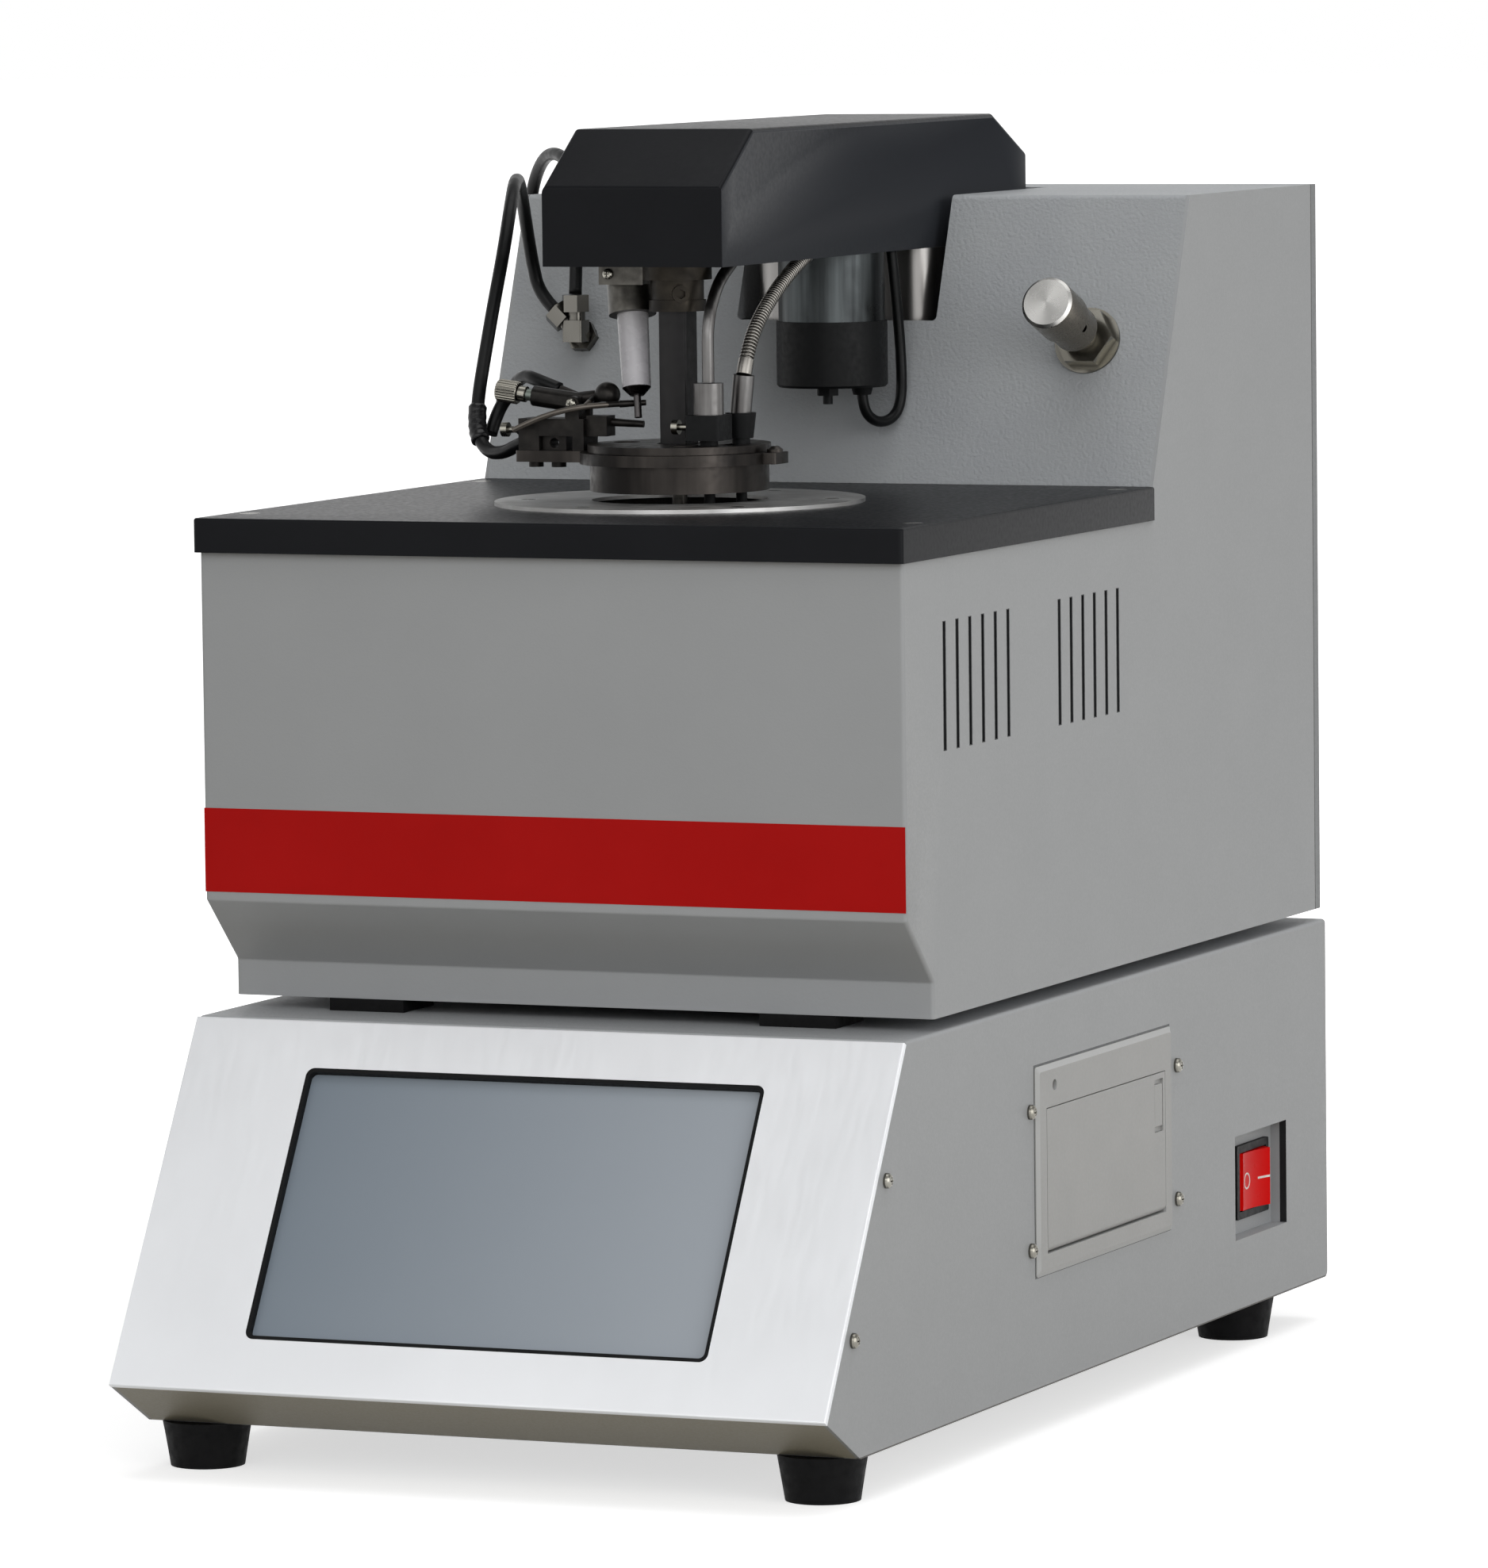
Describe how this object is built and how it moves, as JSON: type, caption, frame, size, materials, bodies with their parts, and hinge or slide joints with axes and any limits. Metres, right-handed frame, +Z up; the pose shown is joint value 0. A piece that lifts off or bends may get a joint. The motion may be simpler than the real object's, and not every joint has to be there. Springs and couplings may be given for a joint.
{
  "type": "flash point tester",
  "caption": "Benchtop closed-cup flash point tester: slanted touch screen console, heated bath deck, rear tower with a lifting arm that carries lid, stirrer, burner, igniter and sensors.",
  "frame": {"origin": "Under the middle of the instrument, on the bench.", "axes": "+X to the right seen from the front, +Y to the back, +Z up."},
  "size_m": [0.3215, 0.5557, 0.5151],
  "materials": {
    "housing_grey": "textured powder coat",
    "panel_silver": "satin anodised",
    "black_steel": "satin black",
    "stainless": "brushed",
    "dark_steel": "dark satin",
    "nickel": "polished",
    "flange_brass": "satin",
    "cast_aluminium": "satin",
    "black_plastic": "matte",
    "red_plastic": "glossy",
    "white_ceramic": "glazed",
    "rubber": "matte",
    "screen": "glossy",
    "board_green": "matte",
    "paper": "matte"
  },
  "bodies": {
    "housing": {"console_cover": "housing_grey", "console_base": "housing_grey", "front_panel": "panel_silver", "screen_glass": "screen", "screen_module": "black_plastic", "control_board": "board_green", "power_supply": "stainless", "rubber_parts": "rubber", "pan_screws": "nickel", "printer_frame": "housing_grey", "printer_tray": "black_plastic", "switch_body": "black_plastic", "power_inlet": "black_plastic", "body_shell": "housing_grey", "body_base": "stainless", "rear_panel": "housing_grey", "work_plate": "black_steel", "flat_screws": "nickel", "bath_ring": "stainless", "heating_bath": "cast_aluminium", "bath_heater": "stainless", "tower_cover": "housing_grey", "tee_fitting": "nickel", "valve_body": "nickel", "lift_guide": "stainless", "lift_actuator": "stainless", "fan_frame": "black_plastic", "supply_hose": "rubber"},
    "lift_head": {"arm_cover": "black_steel", "arm_base": "black_steel", "lift_sleeve": "stainless", "lift_carriage": "cast_aluminium", "motor_can": "stainless", "motor_cap": "black_plastic", "drive_belt": "rubber", "head_flange": "flange_brass", "drive_column": "black_steel", "lid_plate": "dark_steel", "sensor_blocks": "black_plastic", "sensor_caps": "cast_aluminium", "sensor_tube": "stainless", "armoured_hose": "stainless", "igniter_holder": "cast_aluminium", "igniter_tube": "white_ceramic", "burner_bracket": "dark_steel", "gas_hose": "rubber", "burner_hose": "rubber", "motor_cable": "rubber"},
    "stirrer": {"stirrer": "stainless"},
    "motor_drive": {"motor_pulley": "cast_aluminium"},
    "shutter": {"shutter_disc": "dark_steel"},
    "burner": {"burner_body": "dark_steel"},
    "needle_knob": {"burner_knob": "nickel"},
    "bracket_thumbscrew": {"bracket_screw": "nickel"},
    "sensor_thumbscrew": {"sensor_screw": "nickel"},
    "gas_valve_knob": {"valve_knob": "nickel"},
    "power_rocker": {"switch_rocker": "red_plastic"},
    "printer_lid": {"printer_door": "housing_grey"},
    "paper": {"paper_roll": "paper"},
    "fan": {"fan_rotor": "black_plastic"}
  },
  "joints": [
    {"name": "head_lift", "type": "slide", "parent": "housing", "child": "lift_head", "axis": [0, 0, 1], "range_m": [0, 0.085]},
    {"name": "stirrer_spin", "type": "hinge", "parent": "lift_head", "child": "stirrer", "pos_m": [0, -0.0595, 0.4], "axis": [0, 0, 1], "continuous": true},
    {"name": "motor_spin", "type": "hinge", "parent": "lift_head", "child": "motor_drive", "pos_m": [0.015, 0.063, 0.47], "axis": [0, 0, 1], "continuous": true},
    {"name": "shutter_turn", "type": "hinge", "parent": "lift_head", "child": "shutter", "pos_m": [0, -0.0595, 0.388], "axis": [0, 0, 1], "range_deg": [0, 30]},
    {"name": "burner_dip", "type": "hinge", "parent": "lift_head", "child": "burner", "pos_m": [-0.0435, -0.0595, 0.4058], "axis": [0, 1, 0], "range_deg": [0, 16]},
    {"name": "needle_turn", "type": "hinge", "parent": "burner", "child": "needle_knob", "pos_m": [-0.063, -0.0595, 0.4085], "axis": [-0.9905, 0, 0.1372], "range_deg": [-360, 360]},
    {"name": "bracket_screw_turn", "type": "hinge", "parent": "lift_head", "child": "bracket_thumbscrew", "pos_m": [-0.067, -0.0637, 0.3951], "axis": [-1, 0, 0], "range_deg": [-180, 180]},
    {"name": "sensor_screw_turn", "type": "hinge", "parent": "lift_head", "child": "sensor_thumbscrew", "pos_m": [0.01175, -0.0735, 0.3973], "axis": [-1, 0, 0], "range_deg": [-180, 180]},
    {"name": "gas_valve_turn", "type": "hinge", "parent": "housing", "child": "gas_valve_knob", "pos_m": [0.1125, 0.10029, 0.4242], "axis": [0, -0.9328, 0.3603], "range_deg": [-360, 360]},
    {"name": "power_rock", "type": "hinge", "parent": "housing", "child": "power_rocker", "pos_m": [0.138, 0.199, 0.06925], "axis": [0, 0, 1], "range_deg": [0, 14]},
    {"name": "printer_door_open", "type": "hinge", "parent": "housing", "child": "printer_lid", "pos_m": [0.149, 0.012, 0.0739], "axis": [0, 1, 0], "range_deg": [0, 80]},
    {"name": "paper_turn", "type": "hinge", "parent": "housing", "child": "paper", "pos_m": [0.112, 0.012, 0.0999], "axis": [0, 1, 0], "continuous": true},
    {"name": "fan_spin", "type": "hinge", "parent": "housing", "child": "fan", "pos_m": [0, 0.262, 0.262], "axis": [0, 1, 0], "continuous": true}
  ],
  "couplings": [
    {"joint": "motor_spin", "follows": "stirrer_spin", "ratio": 1.3333},
    {"joint": "burner_dip", "follows": "shutter_turn", "ratio": 0.53333}
  ]
}
